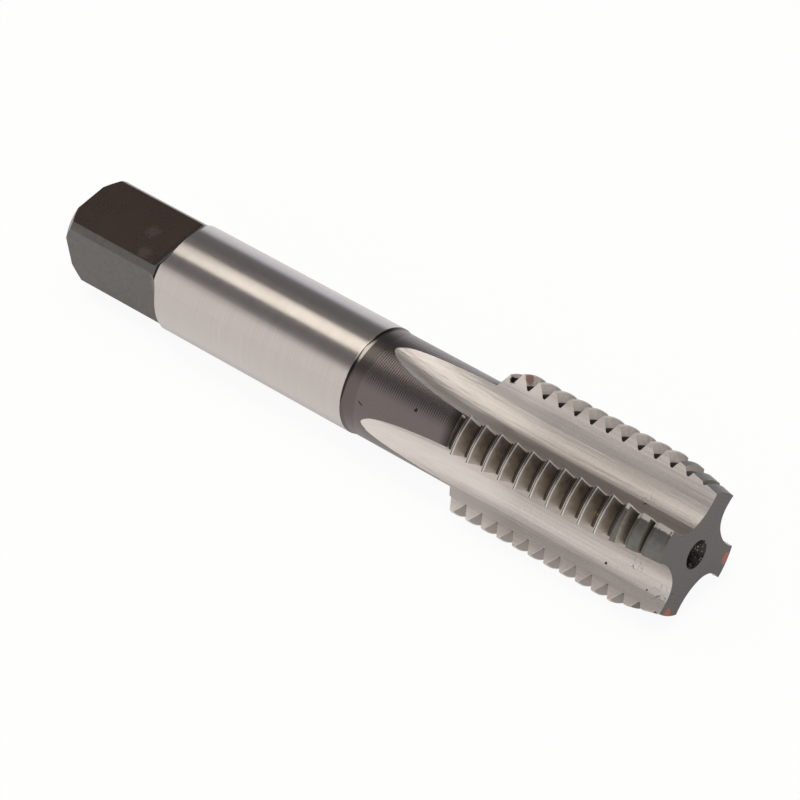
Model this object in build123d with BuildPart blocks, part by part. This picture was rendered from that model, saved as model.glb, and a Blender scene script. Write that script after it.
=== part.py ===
from build123d import *
import os
from math import acos, asin, atan2, cos, degrees, hypot, radians, sin, sqrt, tan

# Hand tap for the left-hand metric thread 16 x 2, in millimetres, ground from one bar of tool steel.
# The axis lies along X, the cutting end points to +X, and the origin is the centre of its end face.
# Seen from the cutting end, one flute opens straight down, so the tap lies on two of its lands.

# Lengths along the axis
overall_length = 81.0
thread_length = 27.1            # end face to the foot of the bevel behind the thread
neck_length = 13.9              # foot of that bevel to the full shank
square_end_length = 13.6        # rear end to the start of the ground shank
lead_length = 5.4               # tapered lead that starts the cut, on the cutting edges
flat_length = 12.5              # rear end to where the driving flats begin to run out
rear_chamfer = 1.0
shoulder_bevel_length = 0.45
back_bevel_angle = 60.0         # bevel behind the thread, from the axis

# Diameters
tip_diameter = 13.64            # across the cutting edges at the end face
shank_diameter = 12.0
neck_diameter = 11.66
square_end_diameter = 11.6      # the bar under the driving flats, left as turned
across_flats = 8.8

# Thread
thread_diameter = 16.1
pitch = 2.0
thread_depth = 1.32
groove_floor_width = 0.25
thread_angle = 60.0
first_groove = 2.0              # end face to a groove, on the cutting edge beside the upright flute
crest_clearance = 0.1           # thread cutter above the crests
helix_start_angle = 90.0        # a helix along X starts at +Z
land_sweep = 60.0               # cutters reach across a land and into the flutes on both sides
lead_relief = 0.27              # fall of the lead from a land's cutting edge to its heel

# Flutes, drawn looking from the cutting end, with the foot of the cutting face upright
flute_count = 4
core_diameter = 7.63
heel_radius = 5.25              # long hollow arc on the heel side
heel_arc_angle = 56.7           # direction of that arc's centre
root_radius = 2.8               # tighter arc between cutting face and heel
face_offset = 0.82              # foot of the cutting face to the axis
hook_radius = 7.0               # hollow of the cutting face, which leans its edge forward
flute_length = 18.7             # end face to where the flutes begin to run out
wheel_radius = 90.0             # grinding wheel that leaves the run-out
wheel_angle = 30.5              # direction in which the wheel leaves the work
wheel_sweep = 20.0              # part of the wheel that reaches past the bar

# Driving square
flat_count = 4
flat_runout_radius = 1.7
square_turn = 4.6               # square against the flutes

# Centre holes
centre_diameter = 3.2
centre_angle = 60.0
centre_pilot_diameter = 1.6
centre_depth = 4.2

# Cutters reach past the metal by this much
overcut = 2.0

tip_radius = tip_diameter / 2
shank_radius = shank_diameter / 2
neck_radius = neck_diameter / 2
square_end_radius = square_end_diameter / 2
thread_radius = thread_diameter / 2
groove_radius = thread_radius - thread_depth
back_bevel_length = (thread_radius - neck_radius) / tan(radians(back_bevel_angle))


# Directions across the axis are angles from +Y towards +Z
def across(angle):
    return Vector(0, cos(radians(angle)), sin(radians(angle)))


# Flute section: the heel arc, the root arc that meets it smoothly, and the hollow cutting face
arc_distance = core_diameter / 2 + heel_radius
heel_x = arc_distance * cos(radians(heel_arc_angle))
heel_y = arc_distance * sin(radians(heel_arc_angle))
root_x = face_offset + root_radius
root_y = heel_y - sqrt((heel_radius - root_radius) ** 2 - (heel_x - root_x) ** 2)
meeting_angle = degrees(atan2(root_y - heel_y, root_x - heel_x))
hook_x = face_offset + hook_radius
outside = thread_radius + overcut


# Angle between an arc's centre and the point where the arc crosses a circle about the axis
def crossing_angle(centre_distance, arc_radius, radius):
    side = (centre_distance ** 2 + radius ** 2 - arc_radius ** 2) / (2 * centre_distance * radius)
    return degrees(acos(side))


# Angle of the point where a flute's heel arc crosses a circle about the axis
def heel_edge_angle(radius):
    return heel_arc_angle - crossing_angle(arc_distance, heel_radius, radius)


# Angle of the point where the cutting face crosses a circle about the axis
def cutting_edge_angle(radius):
    return degrees(atan2(root_y, hook_x)) + crossing_angle(hypot(hook_x, root_y), hook_radius, radius)


# Turned so that the first flute's mouth opens upwards
flute_middle = (heel_edge_angle(thread_radius) + cutting_edge_angle(thread_radius)) / 2
flute_turn = 90 - flute_middle
flute_plane = Plane(origin=(-flute_length, 0, 0), x_dir=across(flute_turn), z_dir=(1, 0, 0))
mouth_reach = sqrt(heel_radius ** 2 - (outside - heel_x) ** 2)
mouth_angle = degrees(atan2(-mouth_reach, outside - heel_x))
hook_sweep = degrees(asin((outside - root_y) / hook_radius))
hook_top = hook_x - hook_radius * cos(radians(hook_sweep))

# The wheel's centre lies above the deepest point of the section in the direction in which it leaves
wheel_direction = Vector(cos(radians(wheel_angle)), sin(radians(wheel_angle)), 0)
deepest = wheel_direction.dot(Vector(root_x, root_y, 0)) - root_radius
wheel_lift = across(flute_turn + wheel_angle)
wheel_centre = Vector(-flute_length, 0, 0) + wheel_lift * (deepest + wheel_radius)
wheel_axis = Axis(wheel_centre, wheel_lift.cross(Vector(1, 0, 0)))

with BuildPart() as flute_cutter:
    with BuildSketch(flute_plane) as flute_section:
        with BuildLine():
            CenterArc((hook_x, root_y), hook_radius, 180 - hook_sweep, hook_sweep)
            CenterArc((root_x, root_y), root_radius, 180, meeting_angle + 180)
            CenterArc((heel_x, heel_y), heel_radius, meeting_angle, mouth_angle - meeting_angle)
            Line((outside, heel_y - mouth_reach), (outside, outside))
            Line((outside, outside), (hook_top, outside))
        make_face()
    extrude(flute_section.sketch, amount=flute_length + overcut)
    revolve(flute_section.sketch, axis=wheel_axis, revolution_arc=wheel_sweep)

# The land next to the upright flute, from its cutting edge round to its heel
land_spacing = 360 / flute_count
land_middle = 90 + land_spacing / 2
land_half = radians(land_middle - flute_turn - cutting_edge_angle(thread_radius))

# Lead over that land: all outside a cone whose axis is moved towards the cutting edge, away from the heel
lead_slope = (thread_radius - tip_radius) / lead_length
lead_shift = lead_relief / (2 * sin(land_half))
lead_radius = sqrt((tip_radius * cos(land_half)) ** 2 + (tip_radius * sin(land_half) - lead_shift) ** 2)
lead_top = thread_radius + lead_relief
lead_axis = Axis(across(land_middle - 90) * lead_shift, (1, 0, 0))
lead_start = land_middle - land_sweep / 2

with BuildPart() as lead_cutter:
    with BuildSketch(Plane(origin=lead_axis.position, x_dir=(1, 0, 0), z_dir=across(lead_start + 90))):
        with BuildLine():
            Polyline(
                (overcut, lead_radius - lead_slope * overcut),
                (overcut, lead_top),
                ((lead_radius - lead_top) / lead_slope, lead_top),
                close=True,
            )
        make_face()
    revolve(axis=lead_axis, revolution_arc=land_sweep)

# Thread groove over the same land: a 60 degree cut with a narrow floor, swept along a left-hand helix
groove_height = thread_depth + crest_clearance
groove_floor_half = groove_floor_width / 2
groove_mouth_half = groove_floor_half + groove_height * tan(radians(thread_angle / 2))

with BuildPart() as groove_cutter:
    with BuildLine() as groove_path:
        Helix(pitch, pitch * land_sweep / 360, groove_radius, direction=(1, 0, 0), lefthand=True)
    start_plane = Plane(
        origin=groove_path.line @ 0, x_dir=across(helix_start_angle), z_dir=groove_path.line % 0
    )
    with BuildSketch(start_plane):
        with BuildLine():
            Polyline(
                (0, -groove_floor_half),
                (groove_height, -groove_mouth_half),
                (groove_height, groove_mouth_half),
                (0, groove_floor_half),
                close=True,
            )
        make_face()
    sweep(path=groove_path.line, is_frenet=True)

# The groove meets the next land round a quarter of the pitch further from the end face
groove_step = pitch / flute_count
groove_angle = land_middle + land_sweep / 2
edge_angle = flute_turn + cutting_edge_angle(groove_radius)
groove_x = -first_groove - pitch * (groove_angle - edge_angle) / 360
lands_behind = round((thread_length + pitch) / groove_step)
groove_places = []
for land in range(-flute_count, lands_behind):
    groove_turn = groove_angle - helix_start_angle + land * land_spacing
    groove_places.append(Location((groove_x - land * groove_step, 0, 0), (groove_turn, 0, 0)))

with BuildPart() as thread_tap:
    # Turned blank
    with BuildSketch(Plane.XZ):
        with BuildLine():
            Polyline(
                (-overall_length, 0),
                (-overall_length, square_end_radius - rear_chamfer),
                (-overall_length + rear_chamfer, square_end_radius),
                (-overall_length + square_end_length, square_end_radius),
                (-overall_length + square_end_length, shank_radius),
                (-thread_length - neck_length, shank_radius),
                (-thread_length - neck_length + shoulder_bevel_length, neck_radius),
                (-thread_length, neck_radius),
                (-thread_length + back_bevel_length, thread_radius),
                (0, thread_radius),
                (0, 0),
                close=True,
            )
        make_face()
    revolve(axis=Axis.X)

    # Flutes, then the lead and the thread on the lands between them
    for flute in range(flute_count):
        add(flute_cutter.part, rotation=(flute * land_spacing, 0, 0), mode=Mode.SUBTRACT)
    for land in range(flute_count):
        add(lead_cutter.part, rotation=(land * land_spacing, 0, 0), mode=Mode.SUBTRACT)
    with Locations(*groove_places):
        add(groove_cutter.part, mode=Mode.SUBTRACT)

    # Driving flats, with the hollow that their cutter leaves where it comes out of the bar
    flat_end = -overall_length + flat_length
    for flat in range(flat_count):
        flat_angle = 90 + square_turn + flat * 360 / flat_count
        with BuildSketch(Plane(origin=(0, 0, 0), x_dir=(1, 0, 0), z_dir=across(flat_angle + 90))):
            with BuildLine():
                Polyline(
                    (flat_end + flat_runout_radius, across_flats / 2 + flat_runout_radius),
                    (-overall_length - overcut, across_flats / 2 + flat_runout_radius),
                    (-overall_length - overcut, across_flats / 2),
                    (flat_end, across_flats / 2),
                )
                CenterArc((flat_end, across_flats / 2 + flat_runout_radius), flat_runout_radius, -90, 90)
            make_face()
        extrude(amount=shank_radius + overcut, both=True, mode=Mode.SUBTRACT)

    # Centre holes in both ends, on which the tap was ground
    end_planes = (
        Plane(origin=(0, 0, 0), z_dir=(1, 0, 0)),
        Plane(origin=(-overall_length, 0, 0), z_dir=(-1, 0, 0)),
    )
    for end_plane in end_planes:
        with Locations(end_plane.location):
            CounterSinkHole(
                radius=centre_pilot_diameter / 2,
                counter_sink_radius=centre_diameter / 2,
                depth=centre_depth,
                counter_sink_angle=centre_angle,
            )

thread_tap.part.label = "thread_tap"
os.makedirs("parts", exist_ok=True)
export_step(thread_tap.part, "parts/thread_tap.step")

box = thread_tap.part.bounding_box()
print("solids", len(thread_tap.part.solids()), "volume", round(thread_tap.part.volume, 2))
print("box", box.min, box.max)
print("flute turn", round(flute_turn, 3), "cutting edge", round(cutting_edge_angle(thread_radius), 3))
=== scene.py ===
from math import cos, pi, radians, sin

import bpy
from mathutils import Matrix, Vector


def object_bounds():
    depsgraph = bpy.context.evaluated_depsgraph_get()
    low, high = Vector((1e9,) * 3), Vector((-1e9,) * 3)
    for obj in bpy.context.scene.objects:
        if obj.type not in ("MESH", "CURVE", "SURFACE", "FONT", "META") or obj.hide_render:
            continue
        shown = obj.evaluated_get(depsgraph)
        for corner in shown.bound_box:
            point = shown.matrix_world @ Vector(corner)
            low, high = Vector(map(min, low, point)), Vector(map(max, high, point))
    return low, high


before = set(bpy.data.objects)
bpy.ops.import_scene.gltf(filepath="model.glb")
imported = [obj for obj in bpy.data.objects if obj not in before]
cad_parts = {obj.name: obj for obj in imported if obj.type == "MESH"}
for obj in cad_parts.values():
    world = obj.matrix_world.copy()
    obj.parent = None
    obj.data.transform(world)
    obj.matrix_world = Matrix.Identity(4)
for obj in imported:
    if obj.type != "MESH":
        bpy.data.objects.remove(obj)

# Looks of a ground hand tap. Lengths in this file are millimetres unless a comment says metres.
# The tap lies along X with its cutting end at the origin, pointing to +X.
# Directions across the tap are angles from +Y towards +Z, so the upright flute is at 90.

cad_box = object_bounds()
MM = 0.001
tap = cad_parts["thread_tap"]

# Places along the tap, measured back from the end face
LEAD_END = 5.4
CENTRE_END = 5.0
RUNOUT_START = 19.0             # where the flutes leave their full depth
CREST_END = 25.82
NECK_START = 27.1
COLLAR_START = 39.2
SHOULDER_START = 40.5
SHANK_START = 40.95
SHANK_END = 67.4

# Distances from the axis
CENTRE_RADIUS = 1.6
NECK_EDGE = 5.8                 # just inside the neck
LEAD_EDGE = 6.3
LAND_FOOT = 6.6
ROOT_RADIUS = 6.74              # floor of a groove
CREST_RADIUS = 7.9

# Directions of the lands. The near land faces the camera.
FAR_LAND = 45
LOW_LAND = 225

# The groove's middle lies this far back at the angle 0, and a pitch further back after each turn
PITCH = 2.0
GROOVE_AT_ZERO = 2.0 - PITCH * 120.9 / 360
CREST_HALF = 0.113

# The hollow cutting face of the upright flute: the distance and direction of its arc's centre, and its radius
FACE_CENTRE, FACE_ANGLE, FACE_RADIUS = 9.5817, 73.96, 7.0
QUARTER = 90                    # from one flute to the next


# Shader maths

class Shade:
    """A socket that takes part in Python expressions. Each operator adds its Math node."""

    def __init__(self, nodes, socket):
        self.nodes = nodes
        self.socket = socket

    def __add__(self, other):
        return self.nodes.maths("ADD", self, other)

    def __radd__(self, other):
        return self.nodes.maths("ADD", other, self)

    def __sub__(self, other):
        return self.nodes.maths("SUBTRACT", self, other)

    def __rsub__(self, other):
        return self.nodes.maths("SUBTRACT", other, self)

    def __mul__(self, other):
        return self.nodes.maths("MULTIPLY", self, other)

    def __rmul__(self, other):
        return self.nodes.maths("MULTIPLY", other, self)

    def __truediv__(self, other):
        return self.nodes.maths("DIVIDE", self, other)

    def __rtruediv__(self, other):
        return self.nodes.maths("DIVIDE", other, self)

    def __neg__(self):
        return self.nodes.maths("MULTIPLY", self, -1)

    def __abs__(self):
        return self.nodes.maths("ABSOLUTE", self)

    def most(self, other):
        return self.nodes.maths("MAXIMUM", self, other)

    def least(self, other):
        return self.nodes.maths("MINIMUM", self, other)

    def root(self):
        return self.nodes.maths("SQRT", self)

    def wave(self, length):
        """A sine wave of this length, between 0 and 1."""
        return self.nodes.maths("SINE", self * (2 * pi / length)) * 0.5 + 0.5

    def held(self):
        """Held between 0 and 1."""
        return self.nodes.maths("ADD", self, 0, clamp=True)

    def rise(self, low, high):
        """0 below low, 1 above high, and a straight rise between them."""
        return self.nodes.maths("MULTIPLY", self - low, 1 / (high - low), clamp=True)

    def fall(self, low, high):
        return 1 - self.rise(low, high)

    def band(self, low, high, edge):
        """1 between low and high, with soft edges."""
        return self.rise(low - edge, low + edge) * self.fall(high - edge, high + edge)


class Nodes:
    """The nodes of one material or world, with one method that adds any of them."""

    def __init__(self, owner):
        owner.use_nodes = True
        self.tree = owner.node_tree
        self.tree.nodes.clear()

    def node(self, kind, settings=None, *values, output=0, **named):
        """A node of some kind, its settings, and the values or links of its sockets by number or name."""
        new = self.tree.nodes.new(kind)
        for name, value in (settings or {}).items():
            setattr(new, name, value)
        for place, value in [*enumerate(values), *named.items()]:
            key = place.replace("_", " ") if isinstance(place, str) else place
            self.feed(new.inputs[key], value)
        return Shade(self, new.outputs[output]) if len(new.outputs) else new

    def feed(self, socket, value):
        if isinstance(value, Shade):
            self.tree.links.new(value.socket, socket)
        else:
            socket.default_value = value

    def maths(self, operation, *values, clamp=False):
        return self.node("ShaderNodeMath", {"operation": operation, "use_clamp": clamp}, *values)

    def vector(self, operation, *values, output=0, **named):
        return self.node("ShaderNodeVectorMath", {"operation": operation}, *values, output=output, **named)

    def mix(self, share, first, second):
        """A colour between two colours. The Mix node takes them at its inputs 6 and 7."""
        new = self.tree.nodes.new("ShaderNodeMix")
        new.data_type = "RGBA"
        self.feed(new.inputs[0], share)
        for place, colour in ((6, first), (7, second)):
            self.feed(new.inputs[place], colour if isinstance(colour, Shade) else (*colour, 1))
        return Shade(self, new.outputs[2])

    def parts(self, vector):
        split = self.node("ShaderNodeSeparateXYZ", None, vector)
        return [Shade(self, socket) for socket in split.socket.node.outputs]

    def joined(self, *parts):
        return self.node("ShaderNodeCombineXYZ", None, *parts)

    def noise(self, vector, scale, detail, roughness):
        return self.node(
            "ShaderNodeTexNoise", None, Vector=vector, Scale=scale, Detail=detail, Roughness=roughness
        )

    def ray(self, name):
        return self.node("ShaderNodeLightPath", output=f"Is {name} Ray")

    def coordinates(self, name):
        return self.node("ShaderNodeTexCoord", output=name)


def across(angle):
    """The direction across the tap at an angle."""
    return Vector((0, cos(radians(angle)), sin(radians(angle))))


# Camera, on the side from which the near land and the cutting end are seen

CAMERA_PLACE = Vector((169.54, -219.39, 273.15))
CAMERA_RIGHT = Vector((0.7550, 0.65395, -0.04860))
CAMERA_AHEAD = Vector((-0.5090, 0.53781, -0.67215))


def place_camera():
    ahead = CAMERA_AHEAD.normalized()
    right = CAMERA_RIGHT.normalized()
    right = (right - ahead * right.dot(ahead)).normalized()
    up = right.cross(ahead)
    turn = Matrix((right, up, -ahead)).transposed().to_4x4()
    data = bpy.data.cameras.new("camera")
    data.sensor_width = 36
    data.lens = 180.2
    data.clip_start = 0.01
    data.clip_end = 20
    camera = bpy.data.objects.new("camera", data)
    camera.matrix_world = Matrix.Translation(CAMERA_PLACE * MM) @ turn
    bpy.context.scene.collection.objects.link(camera)
    bpy.context.scene.camera = camera


# Floor: white paper. The camera sees it nearly white, and the metal mirrors it warm in front and cool behind.

FLOOR_SIZE = 3.0                # metres
FLOOR_BLEND = 0.05              # metres to each side of the tap over which warm turns to cool
FLOOR_PAPER = (0.86, 0.85, 0.84)
FLOOR_WARM = (0.90, 0.845, 0.80)
FLOOR_COOL = (0.92, 0.93, 1.0)
WHITE = (1.0, 1.0, 1.0)
SEEN_WHITE = 0.93
MIRRORED_WHITE = 0.42


def lay_floor():
    half = FLOOR_SIZE / 2
    height = cad_box[0].z
    corners = [(x * half, y * half, height) for x, y in ((-1, -1), (1, -1), (1, 1), (-1, 1))]
    mesh = bpy.data.meshes.new("floor")
    mesh.from_pydata(corners, [], [(0, 1, 2, 3)])
    floor = bpy.data.objects.new("floor", mesh)
    bpy.context.scene.collection.objects.link(floor)
    paper = bpy.data.materials.new("white_paper")
    mesh.materials.append(paper)
    n = Nodes(paper)
    warm, cool, white = [
        n.node("ShaderNodeEmission", None, (*colour, 1), 1.0) for colour in (FLOOR_WARM, FLOOR_COOL, WHITE)
    ]
    behind = n.parts(n.coordinates("Object"))[1].rise(-FLOOR_BLEND, FLOOR_BLEND)
    glow = n.node("ShaderNodeMixShader", None, behind, warm, cool)
    glow = n.node("ShaderNodeMixShader", None, n.ray("Camera"), glow, white)
    share = n.ray("Camera") * SEEN_WHITE + (n.ray("Glossy") + n.ray("Transmission")) * MIRRORED_WHITE
    matt = n.node("ShaderNodeBsdfDiffuse", None, (*FLOOR_PAPER, 1))
    n.node("ShaderNodeOutputMaterial", None, n.node("ShaderNodeMixShader", None, share, matt, glow))


# Studio. Heights in it are the upward part of a direction, from 0 at the horizon to 1 straight up.

SKY_DARK = (0.175, 0.165, 0.165)
SKY_WHITE = (0.85, 0.865, 0.945)
SKY_WHITE_TOP = (0.10, 0.30)
PANEL_WHITE = (0.93, 0.88, 0.85)
PANEL_SIDE = Vector((-0.57, -0.82, 0))
PANEL_EDGE = (0.25, 0.55)
PANEL_TOP = (0.50, 0.66)
OVERHEAD = (1.85, 1.74, 1.62)
OVERHEAD_FOOT = (0.90, 0.95)
OVERHEAD_REAR = (-0.42, -0.34)
LAMPS_MIDDLE = Vector((-0.04, 0, 0))    # metres, the point that the lamps face


def light_studio():
    """White low down and on the camera's left, a bright patch overhead, and dim elsewhere."""
    world = bpy.data.worlds.new("studio")
    bpy.context.scene.world = world
    n = Nodes(world)
    way = n.coordinates("Generated")
    x, _, height = n.parts(way)
    to_panel = n.vector("DOT_PRODUCT", way, tuple(PANEL_SIDE.normalized()), output=1)
    light = n.mix(height.fall(*SKY_WHITE_TOP), SKY_DARK, SKY_WHITE)
    light = n.mix(height.fall(*PANEL_TOP) * to_panel.rise(*PANEL_EDGE), light, PANEL_WHITE)
    light = n.mix(height.rise(*OVERHEAD_FOOT) * x.rise(*OVERHEAD_REAR), light, OVERHEAD)
    light = n.mix(n.ray("Camera"), light, WHITE)
    n.node("ShaderNodeOutputWorld", None, n.node("ShaderNodeBackground", None, light, 1.0))


def add_lamp(name, azimuth, elevation, distance, size, watts, colour, in_reflections):
    """A rectangular lamp that faces the tap. Its distance and size are metres."""
    data = bpy.data.lights.new(name, "AREA")
    data.shape = "RECTANGLE"
    data.size, data.size_y = size
    data.energy = watts
    data.color = colour
    lamp = bpy.data.objects.new(name, data)
    lamp.visible_glossy = in_reflections
    lamp.visible_camera = False
    a, e = radians(azimuth), radians(elevation)
    back = Vector((cos(a) * cos(e), sin(a) * cos(e), sin(e)))
    turn = back.to_track_quat("Z", "Y").to_matrix().to_4x4()
    lamp.matrix_world = Matrix.Translation(LAMPS_MIDDLE + back * distance) @ turn
    bpy.context.scene.collection.objects.link(lamp)


# Finishes, as colours of the metal. A pair is the darker and the lighter of a mottled finish.

SHANK = ((0.562, 0.534, 0.517), (0.588, 0.560, 0.543))
FLUTE = ((0.570, 0.535, 0.510), (0.735, 0.700, 0.678))
# Painted highlight: the colour of the flutes' run-outs, lighter than the flute
RUNOUT_HIGHLIGHT = (0.84, 0.80, 0.765)
LAND_SIDE_SHADE = (0.19, 0.155, 0.13)              # brown painted shade in the flutes, beside the near land
NECK = (0.174, 0.155, 0.153)
COLLAR = (0.150, 0.131, 0.128)
SHOULDER_GLINT = (0.46, 0.425, 0.39)
FLANK = ((0.235, 0.200, 0.172), (0.465, 0.424, 0.374))
LOW_FLANK = (0.52, 0.485, 0.45)
LEAD_GROOVE = (0.135, 0.122, 0.098)
ROOT = (0.10, 0.085, 0.075)
CREST = (0.20, 0.185, 0.17)
BEVEL = (0.075, 0.065, 0.058)
LEAD = ((0.158, 0.153, 0.145), (0.205, 0.201, 0.190))
BRIGHT_METAL_AND_GLINT = (0.80, 0.775, 0.745)            # metal worn or honed bright, and the painted glint of the cutting edges
SQUARE = ((0.115, 0.109, 0.104), (0.138, 0.132, 0.126))
SQUARE_TOP = (0.148, 0.113, 0.101)
END = ((0.120, 0.114, 0.110), (0.130, 0.124, 0.120))
CENTRE = (0.060, 0.053, 0.047)
# Near black, for pits, scratches and grime, and for painted shade in groove floors, corners and steps
GRIME_AND_SHADE = (0.022, 0.019, 0.017)
COPPER = (0.42, 0.13, 0.085)
RUST = (0.20, 0.088, 0.060)
BRASS = (0.68, 0.61, 0.13)
SMUDGE = (0.42, 0.38, 0.36)

# Roughness of the shank, and what each other finish adds to it
SHANK_ROUGHNESS = 0.22
ADDED_ROUGHNESS = {
    "square": 0.06, "neck": 0.03, "collar": 0.06, "groove": 0.20,
    "end": 0.16, "centre": 0.20, "lead": 0.18, "flute": 0.21,
}

# Heights of the marks that the tools leave, each times the bump's distance
BUMP_DISTANCE = 0.004
SHANK_LINES = 0.5
FLUTE_LINES = 10.0
NECK_TURNING = 3.6
GROOVE_SPECKS = 0.6
MARK_DEPTH = 4.0
TURNING_PITCH = 0.27            # lathe feed on the neck
FACING_PITCH = 0.42             # lathe feed on the end face

# Marks seen on the tap: the place, size and raggedness of each
PITS = (
    ((-32.02, -4.20, 4.03), 0.20, 0.5),         # neck
    ((-7.71, -4.43, -2.40), 0.15, 0.2),         # lower flute
    ((-2.43, -4.67, -2.67), 0.10, 0.2),
    ((-25.75, 3.63, 5.94), 0.42, 0.5),          # behind the far land
)
NECK_SCRATCH = ((-38.75, -5.37, 2.27), (-38.3, -5.45, 2.07), 0.13)
HAIR_SCRATCHES = (
    ((-5.85, -0.11, 3.83), 0.8, 0.3),
    ((-4.41, -3.78, -0.82), 1.0, 0.3),
    ((-0.9, -4.3, -2.6), 1.1, 0.3),
    ((-31.0, -4.5, -2.5), 0.5, 0.3),
)
RUSTY_TOOTH = (((-24.27, 4.52, 6.39), 0.75, 0.5),)
YELLOW_SWARF = (((-8.24, -5.24, 4.58), 0.36, 1.0),)
COPPER_STAINS = (((0.0, 4.66, -4.10), 0.62, 1.0), ((0.0, -4.75, -4.55), 0.70, 1.0))
SMUDGES = (((-71.77, -0.43, 4.40), 0.75, 1.5), ((-70.4, -3.27, 4.33), 0.75, 1.5))


class TapNodes(Nodes):
    """The nodes of the tap's steel, with masks that are 1 on one of its surfaces and 0 on the others."""

    def __init__(self, material):
        super().__init__(material)
        self.place = self.vector("SCALE", self.coordinates("Object"), Scale=1 / MM)
        self.x, self.y, self.z = self.parts(self.place)
        self.face_x, face_y, self.face_z = self.parts(self.node("ShaderNodeNewGeometry", output="Normal"))
        self.back = -self.x
        self.radius = (self.y * self.y + self.z * self.z).root()
        self.outward = (face_y * self.y + self.face_z * self.z) / self.radius
        self.find_surfaces()
        self.find_edges()
        self.make_textures()

    def near(self, angle, low, high):
        """1 on the side of the tap that faces an angle. Low and high are cosines of the angle from it."""
        way = across(angle)
        return ((self.y * way.y + self.z * way.z) / self.radius).rise(low, high)

    def find_surfaces(self):
        back, radius, face_x = self.back, self.radius, self.face_x
        self.on_square = back.rise(SHANK_END - 0.03, SHANK_END + 0.03)
        self.on_shank = back.rise(SHANK_START - 0.04, SHANK_START) * (1 - self.on_square)
        self.on_end = back.fall(0.02, 0.04) * face_x.rise(0.8, 0.95)
        off_end = 1 - self.on_end
        in_mouth = radius.fall(CENTRE_RADIUS, CENTRE_RADIUS + 0.03)
        self.in_centre = in_mouth * back.fall(CENTRE_END, CENTRE_END + 1) * off_end

        # Tops of the lands, which are lead, crest or root, and the flanks between crest and root
        on_body = back.fall(NECK_START - 0.02, NECK_START) * off_end
        on_top = self.outward.rise(0.88, 0.92) * radius.rise(LEAD_EDGE, LEAD_EDGE + 0.05) * on_body
        self.on_lead = on_top * back.fall(LEAD_END, LEAD_END + 0.3)
        self.on_crest = on_top * (1 - self.on_lead) * radius.rise(CREST_RADIUS, CREST_RADIUS + 0.05)
        self.on_root = on_top * (1 - self.on_lead) * (1 - self.on_crest)
        off_top = 1 - on_top
        on_walls = radius.rise(LAND_FOOT - 0.02, LAND_FOOT) * abs(face_x).rise(0.45, 0.5)
        self.on_flank = on_walls * on_body * off_top
        self.on_groove = self.on_flank.most(self.on_root)
        behind_crests = back.rise(CREST_END - 0.02, CREST_END + 0.05) * face_x.fall(-0.65, -0.5)
        self.on_bevel = behind_crests * radius.rise(NECK_EDGE + 0.05, NECK_EDGE + 0.1) * on_body

        # The collar and the shoulder lie within the neck's mask, so that no line shows between them
        around_neck = radius.rise(NECK_EDGE - 0.005, NECK_EDGE + 0.01) * self.outward.rise(0.90, 0.93)
        self.on_neck = back.band(NECK_START, SHANK_START, 0.02) * around_neck
        self.on_collar = back.rise(COLLAR_START - 0.15, COLLAR_START + 0.15) * self.on_neck
        self.on_shoulder = back.rise(SHOULDER_START - 0.02, SHOULDER_START + 0.02) * self.on_neck

        off_ends = (1 - self.on_shank) * (1 - self.on_square) * off_end * (1 - self.in_centre)
        self.on_flute = off_ends * off_top * (1 - self.on_flank) * (1 - self.on_neck)

    def find_edges(self):
        """Distances from the nearest cutting face, and from the middle of a groove along the tap."""
        section = self.joined(0.0, self.y, self.z)
        self.edge_gap = None
        for flute in range(4):
            centre = across(FACE_ANGLE + QUARTER * flute) * FACE_CENTRE
            gap = abs(self.vector("DISTANCE", section, centre, output=1) - FACE_RADIUS)
            self.edge_gap = gap if self.edge_gap is None else self.edge_gap.least(gap)
        turned = self.maths("ARCTAN2", self.z, self.y) * (PITCH / (2 * pi))
        turns = self.maths("FRACT", (self.back - GROOVE_AT_ZERO - turned) / PITCH + 20)
        self.from_crest = abs(turns - 0.5) * PITCH

    def make_textures(self):
        """What the grinding wheels and the lathe leave, and clouds and specks of three sizes."""
        x, y, z, place = self.x, self.y, self.z, self.place
        self.round_lines = self.noise(self.joined(x * 7, y * 0.1, z * 0.1), 1.0, 2.0, 0.5)
        self.long_lines = self.noise(self.joined(x * 0.07, y * 3.2, z * 3.2), 1.0, 3.0, 0.6)
        self.clouds = self.noise(place, 0.35, 3.0, 0.55)
        self.fine_clouds = self.noise(place, 1.6, 3.0, 0.6)
        self.specks = self.noise(place, 5.0, 2.0, 0.6)
        self.hair_clouds = self.noise(place, 1.3, 1.0, 0.5)

    def spots(self, marks):
        """1 within some ragged spots."""
        found = None
        for centre, size, ragged in marks:
            away = self.vector("DISTANCE", self.place, centre, output=1) / size
            spot = (away + (self.specks - 0.5) * (2 * ragged)).fall(0.8, 1.1)
            found = spot if found is None else found.most(spot)
        return found

    def scratch(self, start, end, width):
        start, end = Vector(start), Vector(end)
        run = end - start
        from_start = self.vector("SUBTRACT", self.place, start)
        along = self.vector("DOT_PRODUCT", from_start, run / run.length_squared, output=1).held()
        nearest = self.vector("MULTIPLY_ADD", self.joined(along, along, along), run, start)
        return self.vector("DISTANCE", self.place, nearest, output=1).fall(width * 0.35, width * 0.65)


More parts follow.
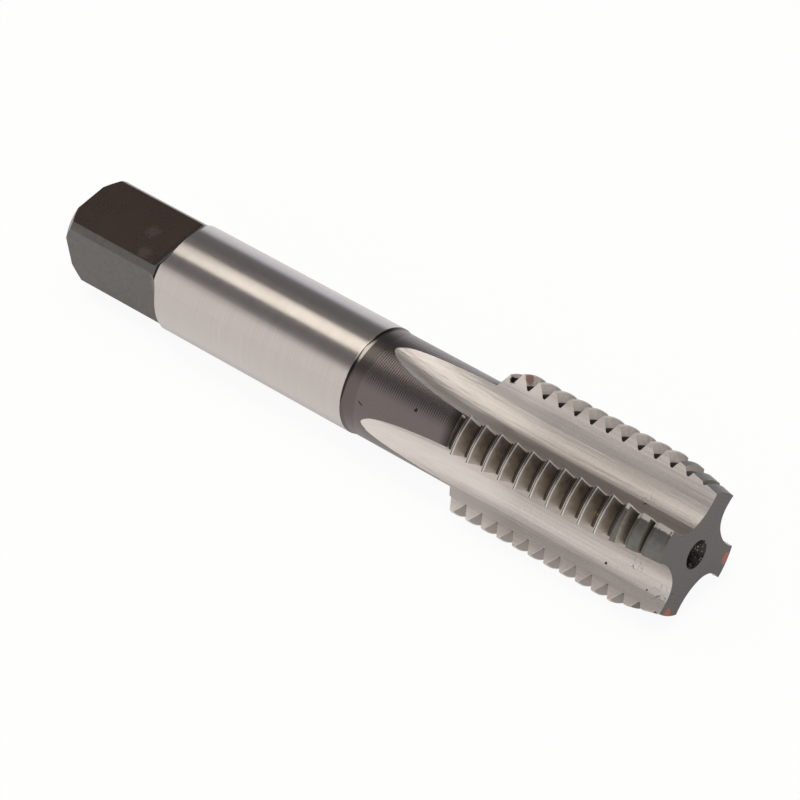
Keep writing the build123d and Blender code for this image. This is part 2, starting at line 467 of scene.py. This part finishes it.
def flute_finish(t):
    """Long grinding lines, a run-out lightened with a painted highlight, and brown painted shade beside the
    near land.
    """
    grain = t.long_lines * 0.65 + t.specks * 0.35
    colour = t.mix(grain.rise(0.36, 0.64), *FLUTE)
    # The run-out lightened with a painted highlight
    colour = t.mix(t.back.rise(RUNOUT_START, RUNOUT_START + 4) * 0.65, colour, RUNOUT_HIGHLIGHT)
    # Painted shade beside the near land, above and below it, streaked along the grinding lines
    above_land = t.near(104, 0.965, 0.99) * t.back.fall(23, 27)
    below_land = t.near(158, 0.985, 0.995) * 0.5
    streaks = t.long_lines.rise(0.3, 0.7) * 0.35 + 0.35
    return t.mix(above_land.most(below_land) * streaks, colour, LAND_SIDE_SHADE)


def neck_finish(t):
    """Dark as hardened, with painted shade close behind the thread."""
    shade_behind_thread = t.back.fall(NECK_START + 0.2, NECK_START + 1.3) * 0.8
    return t.mix(shade_behind_thread, NECK, GRIME_AND_SHADE)


def shoulder_finish(t):
    """A bevel with one painted glint, and a dark line of grime against the shank, widened by painted shade on
    two sides.
    """
    colour = t.mix(t.near(107, 0.965, 0.985), COLLAR, SHOULDER_GLINT)
    # Painted shade widens the dark line on two sides
    shaded_sides = t.near(138, 0.85, 0.97).most(t.near(76, 0.88, 0.95)) * 0.18
    dark_line = (t.back - SHOULDER_START + shaded_sides).rise(0.36, 0.42) * 0.85
    return t.mix(dark_line, colour, GRIME_AND_SHADE)


def shaded_far_land(t):
    """The far land, where the grooves take more painted shade and the crest lips are dimmer."""
    return t.near(FAR_LAND, 0.90, 0.95)


def flank_finish(t):
    """Brown groove walls: lighter towards the heel, darkened by painted shade at the floor and bright at the
    crest.
    """
    heelwards = (t.edge_gap * 0.36 - 0.1 + (t.fine_clouds - 0.5) * 1.6).held()
    colour = t.mix(heelwards, *FLANK)
    colour = t.mix(t.near(LOW_LAND, 0.90, 0.95) * 0.6, colour, LOW_FLANK)
    # Painted shade at the groove floor, reaching higher on the far land
    colour = t.mix((t.radius - shaded_far_land(t) * 0.32).fall(ROOT_RADIUS, ROOT_RADIUS + 0.06), colour, GRIME_AND_SHADE)
    colour = t.mix(t.back.fall(2.4, 5.6) * 0.85, colour, LEAD_GROOVE)
    lips = t.radius.rise(CREST_RADIUS + 0.02, CREST_RADIUS + 0.07) * (1 - shaded_far_land(t) * 0.7)
    return t.mix(lips, colour, BRIGHT_METAL_AND_GLINT)


def honed_edge_glints(t):
    """The honed line along each cutting edge, painted bright as its glint, which is wider and ragged on the
    lead.
    """
    on_teeth = t.on_crest.most(t.on_flank) * t.edge_gap.fall(0.09, 0.14)
    on_lead = t.on_lead * (t.edge_gap + (t.specks - 0.5) * 0.3).fall(0.46, 0.60)
    return on_teeth.most(on_lead)


def square_finish(t):
    """Left dark from hardening, and browner on the top flat."""
    colour = t.mix(t.fine_clouds.rise(0.3, 0.7), *SQUARE)
    top = t.face_z.rise(0.85, 0.95) * (t.clouds * 0.5 + 0.75).held()
    return t.mix(top, colour, SQUARE_TOP)


def steel():
    material = bpy.data.materials.new("tool_steel")
    t = TapNodes(material)
    dark_marks = t.scratch(*NECK_SCRATCH).most(t.spots(PITS))
    hairs = abs(t.hair_clouds - 0.5).fall(0.010, 0.022) * t.spots(HAIR_SCRATCHES)
    crest_lips = t.from_crest.rise(CREST_HALF - 0.05, CREST_HALF - 0.02)
    facing_lines = (t.radius + t.fine_clouds * (FACING_PITCH / pi)).wave(FACING_PITCH)
    turning_lines = (t.back + t.clouds * (TURNING_PITCH / (4 * pi))).wave(TURNING_PITCH)

    # Each finish covers what is above it in this list, where its mask is 1
    colour = flute_finish(t)
    for mask, finish in (
        (t.on_shank, t.mix(t.round_lines.rise(0.3, 0.7), *SHANK)),
        (t.on_neck, neck_finish(t)),
        (t.on_collar, COLLAR),
        (t.on_shoulder, shoulder_finish(t)),
        (t.on_flank, flank_finish(t)),
        # Groove floors, with painted shade on the far land
        (t.on_root, t.mix(shaded_far_land(t), ROOT, GRIME_AND_SHADE)),
        (t.on_crest, t.mix(crest_lips, CREST, BRIGHT_METAL_AND_GLINT)),
        (t.on_bevel, BEVEL),
        (t.on_lead, t.mix(t.fine_clouds.rise(0.3, 0.7), *LEAD)),
        (honed_edge_glints(t), BRIGHT_METAL_AND_GLINT),
        (t.on_square, square_finish(t)),
        (t.on_end, t.mix(facing_lines, *END)),
        (t.in_centre, t.mix(t.specks.rise(0.62, 0.70), CENTRE, BRIGHT_METAL_AND_GLINT)),
        # Painted shade in a band at the foot of the square, beside the shank
        (t.back.band(SHANK_END - 0.02, SHANK_END + 0.38, 0.05), GRIME_AND_SHADE),
        (dark_marks * 0.9, GRIME_AND_SHADE),
        (t.spots(RUSTY_TOOTH) * 0.8, RUST),
        (t.spots(YELLOW_SWARF) * t.specks.rise(0.46, 0.54) * 0.7, BRASS),
        (t.spots(COPPER_STAINS) * 0.85, COPPER),
        (hairs * 0.6, GRIME_AND_SHADE),
        (t.spots(SMUDGES) * 0.22, SMUDGE),
    ):
        colour = t.mix(mask, colour, finish)

    roughness = (t.fine_clouds - 0.5) * 0.04 + (t.clouds - 0.5) * 0.06 + dark_marks * 0.3 + SHANK_ROUGHNESS
    for name, mask in (
        ("square", t.on_square), ("neck", t.on_neck), ("collar", t.on_collar), ("groove", t.on_groove),
        ("end", t.on_end), ("centre", t.in_centre), ("lead", t.on_lead), ("flute", t.on_flute),
    ):
        roughness = roughness + mask * ADDED_ROUGHNESS[name]

    height = t.round_lines * t.on_shank * SHANK_LINES + t.long_lines * t.on_flute * FLUTE_LINES
    height = height + turning_lines * t.on_neck * (1 - t.on_collar) * NECK_TURNING
    height = height + t.specks * t.on_groove * GROOVE_SPECKS - dark_marks * MARK_DEPTH
    bump = t.node("ShaderNodeBump", None, Strength=1.0, Distance=BUMP_DISTANCE * MM, Height=height)
    surface = t.node(
        "ShaderNodeBsdfPrincipled",
        None,
        Base_Color=colour,
        Metallic=1.0,
        Roughness=roughness,
        Normal=bump,
    )
    t.node("ShaderNodeOutputMaterial", None, surface)
    return material


place_camera()
lay_floor()
light_studio()
add_lamp(
    "softbox", azimuth=172, elevation=58, distance=0.62, size=(0.26, 0.11),
    watts=0.165, colour=(1.0, 0.935, 0.825), in_reflections=True,
)
add_lamp(
    "ceiling", azimuth=-60, elevation=75, distance=0.9, size=(0.7, 0.7),
    watts=5.0, colour=(1.0, 0.98, 0.96), in_reflections=False,
)
tap.data.materials[0] = steel()

scene = bpy.context.scene
scene.view_settings.view_transform = "Standard"
